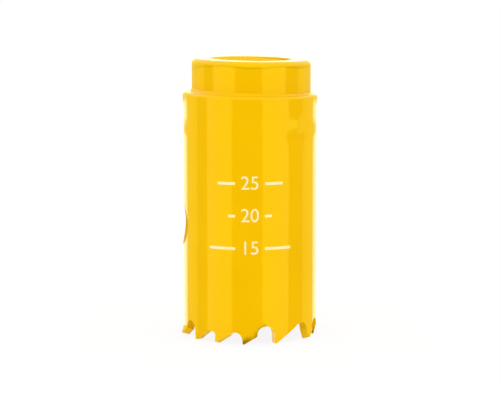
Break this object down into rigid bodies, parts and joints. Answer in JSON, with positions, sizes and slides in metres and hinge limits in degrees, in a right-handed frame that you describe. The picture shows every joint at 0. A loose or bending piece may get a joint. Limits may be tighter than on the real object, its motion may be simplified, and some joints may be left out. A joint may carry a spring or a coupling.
{
  "type": "hole saw",
  "caption": "Small bi-metal hole saw: painted steel cup with set teeth round its open end and a thick cap tapped for an arbor.",
  "frame": {"origin": "centre of the circle on which the teeth stand", "axes": "+Z along the axis, from the teeth towards the cap; -Y is the front and the slug hole is on the -X side"},
  "size_m": [0.0214, 0.0212, 0.0436],
  "materials": {
    "barrel_paint": "gloss yellow spray paint on rolled steel",
    "cap_paint": "gloss yellow spray paint on turned steel",
    "tip_paint": "gloss yellow spray paint on high-speed steel"
  },
  "bodies": {
    "root": {"barrel": "barrel_paint", "cap": "cap_paint", "cap_weld": "cap_paint", "tooth_tip_01": "tip_paint", "tooth_tip_02": "tip_paint", "tooth_tip_03": "tip_paint", "tooth_tip_04": "tip_paint", "tooth_tip_05": "tip_paint", "tooth_tip_06": "tip_paint", "tooth_tip_07": "tip_paint", "tooth_tip_08": "tip_paint", "tooth_tip_09": "tip_paint", "tooth_tip_10": "tip_paint", "tooth_tip_11": "tip_paint", "tooth_tip_12": "tip_paint", "tooth_tip_13": "tip_paint"}
  },
  "joints": []
}
